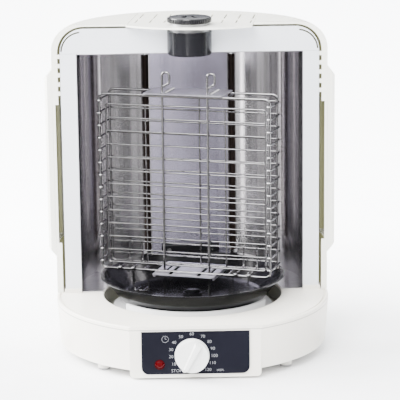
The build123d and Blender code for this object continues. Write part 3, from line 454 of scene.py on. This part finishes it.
# ------------------------------------------------------------------ operators
class GRILL_OT_base(bpy.types.Operator):
    """Moulded base, deck, feet and what is inside them"""
    bl_idname = "grill.base"
    bl_label = "Base"

    SEAM = 57.5 * MM               # where the deck meets the lower shell; the dark band painted along it is painted shade of the joint

    def execute(self, context):
        tones = colours()
        shell = moulded("shell_moulding", tones.shell, 0.36)
        height = shell.add("ShaderNodeSeparateXYZ", {0: shell.place}).outputs[2]
        # painted shade: a dark band along the seam, in place of the shadow in the joint
        seam_shade = shell.between(shell.maths("ABSOLUTE", shell.maths("SUBTRACT", height, self.SEAM)),
                              1.0, 0.0, 0.2 * MM, 0.7 * MM)
        unshaded = shell.shader.inputs["Base Color"].links[0].from_socket
        shell.colour(shell.mixed(seam_shade, unshaded, (0.30, 0.29, 0.26, 1.0)))
        dress(shell.material, "base_lower_shell", "base_top_deck")
        dress(moulded("plain_moulding", (0.70, 0.69, 0.64), 0.5).material, "base_bottom_plate",
              "base_feet", "timer_body")
        dress(moulded("black_rubber", (0.02, 0.02, 0.02), 0.7, 0.00008).material, "cord_gland")
        dress(moulded("grey_rubber", (0.30, 0.30, 0.30), 0.7, 0.00008).material, "foot_pads")
        dress(polished("zinc_screws", (0.62, 0.62, 0.60), 0.25, 0.15).material, "base_screws")
        dress(polished("plain_steel", (0.42, 0.42, 0.43), 0.32, 0.2).material, "gear_motor",
              "motor_bracket", "drive_shaft", "timer_spindle", "bearing_mount", "locating_pin",
              "thermal_cutout", "terminal_block", "knob_boss")
        dress(polished("turned_brass", (0.66, 0.45, 0.18), 0.25, 0.12).material, "shaft_bush")
        return {"FINISHED"}


class GRILL_OT_panel(bpy.types.Operator):
    """Control panel, pilot lamp, timer knob and the numbers printed round it"""
    bl_idname = "grill.panel"
    bl_label = "Control panel"

    # what is printed round the knob, and how far right of its centre and above it, in millimetres
    SCALE = (("STOP", -17.2, -18.3), ("10", -20.2, -10.4), ("20", -23.1, -1.8), ("30", -23.1, 6.3),
             ("40", -19.7, 14.6), ("50", -12.1, 21.1), ("60", 0.0, 24.1), ("70", 12.3, 21.0),
             ("80", 19.6, 15.0), ("90", 23.1, 7.0), ("100", 24.8, -1.4), ("110", 22.7, -9.6),
             ("120", 17.7, -17.4), ("min.", 31.6, -17.7))
    CLOCK = (-0.0335, 0.0475)

    def execute(self, context):
        tones, dims = colours(), sizes()
        slate = moulded("slate_panel", tones.panel, 0.48, 0.00004, 1.25)
        slate.shader.inputs["Specular IOR Level"].default_value = 0.05
        dress(slate.material, "control_panel_plate")
        dress(moulded("knob_moulding", tones.knob, 0.42).material, "timer_knob")
        dress(lamp_lens().material, "lamp_lens", "lamp_bezel")
        ink = moulded("printed_ink", tones.print_ink, 0.5, 0.00001).material
        for words, right, up in self.SCALE:
            centre = (dims.knob_x + right * MM, dims.knob_z + up * MM)
            name = "print_" + words.lower().strip(".")
            mark = printed(words, dims.digits, centre, dims.ink, ink, name)
            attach(mark, "housing")

        x, z = self.CLOCK
        rim = ring("print_clock_rim", self.CLOCK, PLATE_FACE, 3.8 * MM, 3.55 * MM, dims.ink, ink)
        bm = bmesh.new()
        bar(bm, (x, z), (x, z + 2.6 * MM), 0.25 * MM, PLATE_FACE, dims.ink)
        bar(bm, (x - 0.1 * MM, z), (x + 1.7 * MM, z), 0.25 * MM, PLATE_FACE, dims.ink * 0.9)
        hands = from_bmesh("print_clock_hands", bm, ink)
        for mark in (rim, hands):
            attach(mark, "housing")
        return {"FINISHED"}


class GRILL_OT_housing(bpy.types.Operator):
    """Front frame, hood, handles, cover and the knob on top"""
    bl_idname = "grill.housing"
    bl_label = "Housing"

    def execute(self, context):
        tones = colours()
        dress(enamelled("cool_enamel", tones.front_frame, 0.32).material, "top_beam", "left_post",
              "right_post")
        dress(hood_enamel().material, "outer_shell", "left_handle", "right_handle", "top_cover")
        black = moulded("black_moulding", tones.black_moulding, 0.20, 0.00002, 1.5)
        black.shader.inputs["Specular IOR Level"].default_value = 0.2
        dress(black.material, "bearing_housing", "turntable_driver", "terminal_cover")
        grip = moulded("knob_moulding_black", tones.black_moulding, 0.26, 0.00003, 1.5)
        self.top_knob(grip.material)
        return {"FINISHED"}

    def top_knob(self, material):
        """The knob on the cover: ribs all round, and a round well with a bar across it on top."""
        low, high = (corner[2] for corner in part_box("top_knob"))
        outer, edge, well, bottom = 24.6 * MM, 1.2 * MM, 9.4 * MM, high - 3.2 * MM
        centre, bore, plug = 0.001 * MM, 5.0 * MM, 5.2 * MM
        bm = bmesh.new()
        turned(bm, [(bore, low), (outer - 0.8 * MM, low), (outer, low + 0.8 * MM),
                    (outer, high - edge), (outer - 0.5 * MM, high - 0.3 * MM), (outer - edge, high),
                    (well + 0.3 * MM, high - 0.2 * MM), (well, high - 0.5 * MM),
                    (well - 0.3 * MM, bottom), (bore, bottom)])
        turned(bm, [(centre, low + 0.5 * MM), (plug, low + 0.5 * MM), (plug, bottom + 0.1 * MM),
                    (centre, bottom + 0.1 * MM)], 48)
        reach = well - 0.2 * MM
        block(bm, (-2.6 * MM, -reach, bottom), (2.6 * MM, reach, high - 0.4 * MM))
        ribs = Growth("knurled_knob", Count=60, Radius=outer, Rib=0.85 * MM,
                      Height=high - low - 2.2 * MM, Middle=(0.0, 0.0, (low + high) / 2))
        given = ribs.given
        rim = ribs.add("GeometryNodeMeshCircle", {"Vertices": given["Count"],
                                                  "Radius": given["Radius"]})
        raised = ribs.add("GeometryNodeTransform", {"Geometry": rim.outputs[0],
                                                    "Translation": given["Middle"]})
        rib = ribs.add("GeometryNodeMeshCylinder", {"Vertices": 6, "Radius": given["Rib"],
                                                    "Depth": given["Height"]})
        knob = ribs.grown(ribs.planted(raised.outputs[0], rib.outputs["Mesh"]), bm, material)
        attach(knob, "top_lock")
        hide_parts("top_knob")


class GRILL_OT_cavity(bpy.types.Operator):
    """Reflectors, floor, ceiling, heating rods and terminal cover"""
    bl_idname = "grill.cavity"
    bl_label = "Cavity"

    def execute(self, context):
        tones = colours()
        dress(brushed("brushed_sides", tones.steel, 0.16).material,
              "left_reflector", "right_reflector", "cavity_ceiling")
        dress(brushed("brushed_rear", tones.rear_steel, 0.22).material,
              "rear_reflector")
        dress(polished("satin_floor", (0.55, 0.55, 0.57), 0.28, 0.12).material, "cavity_floor")
        dress(polished("bright_fixings", (0.70, 0.70, 0.71), 0.2, 0.1).material, "heater_clips",
              "terminal_cover_screws")
        dress(heating_rod().material, "left_heater", "right_heater")
        return {"FINISHED"}


class GRILL_OT_turntable(bpy.types.Operator):
    """Well, turntable carrier and drip pan"""
    bl_idname = "grill.turntable"
    bl_label = "Turntable and pan"

    def execute(self, context):
        # partly painted shade: the liner's olive grey stands in part for the shade inside the
        # well's recess
        dress(enamelled("well_enamel_shaded", (0.50, 0.50, 0.43), 0.4).material, "well_liner")
        dress(enamelled("carrier_enamel", (0.80, 0.80, 0.80), 0.35).material, "turntable_carrier")
        dress(pan_enamel().material, "drip_pan")
        return {"FINISHED"}


class GRILL_OT_basket(bpy.types.Operator):
    """Wire basket, its lid and the two locking pins"""
    bl_idname = "grill.basket"
    bl_label = "Basket"

    def execute(self, context):
        wire = polished("chromed_wire", colours().wire, 0.10, 0.10).material
        dress(wire, "basket_front_loop", "basket_rear_loop", "basket_back_wires",
              "basket_side_wires", "basket_ties", "basket_floor_wires", "basket_stand",
              "basket_lid", "left_pin", "right_pin")
        dress(polished("chromed_plate", (0.70, 0.68, 0.75), 0.34, 0.1).material, "basket_top_plate",
              "basket_bottom_plate")
        self.wire_ends(wire)
        self.toothed_strips(wire)
        return {"FINISHED"}

    def wire_ends(self, wire):
        """The cross wires' ends, each closed in an eye round the basket's front loop."""
        rows, pitch = 14, 14.6154 * MM
        top = Vector((101.5 * MM, -19.5 * MM, 290.0 * MM))         # the highest wire's right end
        eyes = Growth("wire_ends", Rows=rows, Step=(0.0, 0.0, -pitch), Eye=2.55 * MM, Wire=0.9 * MM)
        given = eyes.given
        line = eyes.add("GeometryNodeMeshLine", {"Count": given["Rows"], "Offset": given["Step"]})
        circle, thick = (eyes.add("GeometryNodeCurvePrimitiveCircle",
                                  {"Resolution": steps, "Radius": given[which]}).outputs[0]
                         for steps, which in ((14, "Eye"), (7, "Wire")))
        eye = eyes.add("GeometryNodeCurveToMesh", {"Curve": circle, "Profile Curve": thick})
        column = eyes.planted(line.outputs[0], eye.outputs[0])
        both = eyes.add("GeometryNodeJoinGeometry")
        for side in (-1, 1):
            moved = eyes.add("GeometryNodeTransform", {
                "Geometry": column, "Translation": (side * top.x, top.y, top.z)})
            eyes.tree.links.new(moved.outputs[0], both.inputs[0])
        trim = eyes.grown(both.outputs[0], bmesh.new(), wire, BASKET)
        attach(trim, "basket")

    def toothed_strips(self, wire):
        """Toothed strips beside the pins' slots, which hold each pin where the lid is set."""
        levels = ((299.6 * MM, 1), (87.6 * MM, -1))        # on the top plate, under the bottom one
        slots = (-22.2 * MM, 31.8 * MM)
        half_wide, half_long, thick = 0.8 * MM, 19.0 * MM, 1.2 * MM
        bm = bmesh.new()
        teeth = Growth("toothed_strips", Teeth=11, Step=(0.0, 3.2 * MM, 0.0), Tooth=1.3 * MM,
                       Height=1.7 * MM)
        given = teeth.given
        line = teeth.add("GeometryNodeMeshLine", {"Count": given["Teeth"], "Offset": given["Step"]})
        tooth = teeth.add("GeometryNodeMeshCone", {
            "Vertices": 4, "Radius Top": 0.2 * MM, "Radius Bottom": given["Tooth"],
            "Depth": given["Height"]})
        row = teeth.planted(line.outputs[0], tooth.outputs["Mesh"])
        rows = teeth.add("GeometryNodeJoinGeometry")
        for z, way in levels:
            for x in slots:
                low, high = sorted((z, z + way * thick))
                block(bm, (x - half_wide, -half_long, low), (x + half_wide, half_long, high))
                placed = teeth.add("GeometryNodeTransform", {
                    "Geometry": row, "Translation": (x, -16.0 * MM, z + way * thick),
                    "Scale": (1.0, 1.0, float(way))})
                teeth.tree.links.new(placed.outputs[0], rows.inputs[0])
        trim = teeth.grown(rows.outputs[0], bm, wire, BASKET, smooth=False)
        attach(trim, "basket")


class GRILL_OT_stage(bpy.types.Operator):
    """Pale floor, soft studio light and the camera"""
    bl_idname = "grill.stage"
    bl_label = "Stage"

    FOCAL, SENSOR = 175.5, 36.0
    PITCH, DISTANCE, ROLL = math.radians(12.66), 2.268, 0.0115
    TARGET = Vector((0.0, 0.0, 0.1727))
    LEFTWARD = 0.0376              # the viewer stands this far left of straight ahead
    ASIDE = 0.0099                 # the view's middle is this far right of the grill's axis
    # upright cards before the open side, which only bright metal shows: from, to (degrees), glow
    CARDS = ((-90, -75, 0.37), (-75, -60, 0.45), (-60, -45, 0.75), (-45, -30, 0.24),
             (-30, -17, 0.03), (-17, -9, 7.5), (-9, 0, 1.6), (0, 8, 0.60), (8, 24, 0.60),
             (24, 30, 0.10), (30, 47, 0.03), (47, 54, 0.06), (54, 62, 0.18), (62, 75, 0.24),
             (75, 90, 0.40))
    AWAY = 0.55                    # how far off the cards stand
    TIERS = ((0.0, 0.10, 0.6), (0.10, 0.42, 1.0))      # each card's two parts: from, to, share
    RING, RING_HEIGHT, RING_GLOW = (0.172, 3.4), 0.002, 0.45       # a dimmer ring on the table
    TABLE = 14.0                   # half the table's width
    # soft lights: where they stand, and how wide they are
    SOFTBOXES = {"key": ((-0.7, -1.9, 1.7), 1.5), "side": ((1.9, -1.0, 1.1), 1.2),
                 "window": ((-1.9, 0.2, 1.0), 1.4)}

    def execute(self, context):
        scene, stage = context.scene, context.scene.grill_stage
        bm = bmesh.new()
        bm.faces.new([bm.verts.new((x * self.TABLE, y * self.TABLE, 0.0))
                      for x, y in ((-1, -1), (1, -1), (1, 1), (-1, 1))])
        finish = moulded("pale_table", stage.floor, 0.55)
        depth = finish.add("ShaderNodeSeparateXYZ", {0: finish.place}).outputs[1]
        finish.feed("Emission Strength", finish.between(depth, 0.0, stage.backlight, -0.05, 0.55))
        finish.shader.inputs["Emission Color"].default_value = (0.97, 0.99, 1.0, 1.0)
        floor = from_bmesh("floor", bm, finish.material)
        for index, (start, end, glow) in enumerate(self.CARDS):
            angles = [math.radians(start), math.radians(end)]
            ways = [Vector((math.sin(a), -math.cos(a), 0.0)) for a in angles]
            left, right = (self.AWAY * way for way in ways)
            for tier, (low, high, share) in enumerate(self.TIERS):
                corners = ((left, low), (right, low), (right, high), (left, high))
                self.card(f"card_{index}_{tier}",
                          [side + Vector((0.0, 0.0, z)) for side, z in corners], glow * share)
            near, far = self.RING
            corners = zip((*ways, *ways[::-1]), (near, near, far, far))
            self.card(f"table_card_{index}", [way * away + Vector((0.0, 0.0, self.RING_HEIGHT))
                                              for way, away in corners], self.RING_GLOW)

        scene.world = self.studio(stage.sky)
        for (name, (place, width)), power in zip(self.SOFTBOXES.items(),
                                                 (stage.key, stage.fill, stage.window)):
            self.softbox(name, place, width, power)
        self.daylight(stage.daylight)
        self.viewer(scene)
        return {"FINISHED"}

    def viewer(self, scene):
        """The camera, at the photograph's viewing angle."""
        camera = bpy.data.cameras.new("camera")
        camera.lens, camera.sensor_width, camera.clip_end = self.FOCAL, self.SENSOR, 50.0
        eye = self.TARGET + self.DISTANCE * Vector((0, -math.cos(self.PITCH), math.sin(self.PITCH)))
        eye.x -= self.LEFTWARD
        ahead = (self.TARGET + Vector((self.ASIDE, 0, 0)) - eye).normalized()
        right = ahead.cross(Vector((0, 0, 1))).normalized()
        up = right.cross(ahead)
        tilt = Matrix.Rotation(self.ROLL, 3, ahead)
        right, up = tilt @ right, tilt @ up
        facing = Matrix((right, up, -ahead)).transposed().to_4x4()
        viewer = new_object("camera", camera)
        viewer.matrix_world = Matrix.Translation(eye) @ facing
        scene.camera = viewer

    def studio(self, strength):
        """A white ceiling that darkens towards the walls, so that metal has something to show."""
        world = bpy.data.worlds.new("studio")
        world.use_nodes = True
        tree = world.node_tree
        sky = tree.nodes["Background"]
        way = tree.nodes.new("ShaderNodeTexCoord")
        split = tree.nodes.new("ShaderNodeSeparateXYZ")
        ramp = tree.nodes.new("ShaderNodeValToRGB")
        tree.links.new(way.outputs["Generated"], split.inputs[0])
        tree.links.new(split.outputs[2], ramp.inputs[0])
        tree.links.new(ramp.outputs[0], sky.inputs[0])
        ramp.color_ramp.elements[0].position, ramp.color_ramp.elements[1].position = 0.22, 0.50
        ramp.color_ramp.elements[0].color = (0.10, 0.10, 0.12, 1.0)
        ramp.color_ramp.elements[1].color = (0.98, 0.99, 1.0, 1.0)
        sky.inputs[1].default_value = strength
        return world

    def card(self, name, corners, glow):
        """A photographer's card, dark or lit, seen only in what bright metal reflects."""
        bm = bmesh.new()
        bm.faces.new([bm.verts.new(corner) for corner in corners])
        finish = Finish(name, (0.0, 0.0, 0.0), 0.8, Emission_Color=(1.0, 0.985, 1.0, 1.0),
                        Emission_Strength=glow)
        card = from_bmesh(name, bm, finish.material)
        for rays in ("camera", "diffuse", "shadow", "transmission"):
            setattr(card, "visible_" + rays, False)

    def daylight(self, strength):
        """Wide even light from the upper left, as bright on the table far away as near."""
        light = bpy.data.lights.new("daylight", "SUN")
        light.energy, light.angle = strength, math.radians(50)
        lamp = new_object("daylight", light)
        lamp.visible_glossy = False
        lamp.matrix_world = Vector((0.50, 0.34, -1.0)).to_track_quat("-Z", "Y").to_matrix().to_4x4()

    def softbox(self, name, place, width, power):
        light = bpy.data.lights.new(name, "AREA")
        light.shape, light.size, light.energy = "DISK", width, power
        lamp = new_object(name, light)
        aim = (self.TARGET - Vector(place)).to_track_quat("-Z", "Y")
        lamp.matrix_world = Matrix.Translation(place) @ aim.to_matrix().to_4x4()


PIECES = ("base", "panel", "housing", "cavity", "turntable", "basket", "stage")


class GRILL_PT_panel(bpy.types.Panel):
    """Buttons and settings of the grill"""
    bl_idname = "GRILL_PT_panel"
    bl_label = "Skewer grill"
    bl_space_type = "VIEW_3D"
    bl_region_type = "UI"
    bl_category = "Grill"

    def draw(self, context):
        for piece in PIECES:
            self.layout.operator("grill." + piece)
        for group in ("grill_colours", "grill_sizes", "grill_stage"):
            settings = getattr(context.scene, group)
            for name in settings.__annotations__:
                self.layout.prop(settings, name)


GROUPS = {"grill_colours": GrillColours, "grill_sizes": GrillSizes, "grill_stage": GrillStage}
CLASSES = (*GROUPS.values(), GRILL_OT_base, GRILL_OT_panel, GRILL_OT_housing, GRILL_OT_cavity,
           GRILL_OT_turntable, GRILL_OT_basket, GRILL_OT_stage, GRILL_PT_panel)


def register():
    for item in CLASSES:
        bpy.utils.register_class(item)
    for name, group in GROUPS.items():
        setattr(bpy.types.Scene, name, bpy.props.PointerProperty(type=group))


def unregister():
    for name in GROUPS:
        delattr(bpy.types.Scene, name)
    for item in reversed(CLASSES):
        bpy.utils.unregister_class(item)


def main():
    register()
    for piece in PIECES:
        getattr(bpy.ops.grill, piece)()


if __name__ == "__main__":
    main()
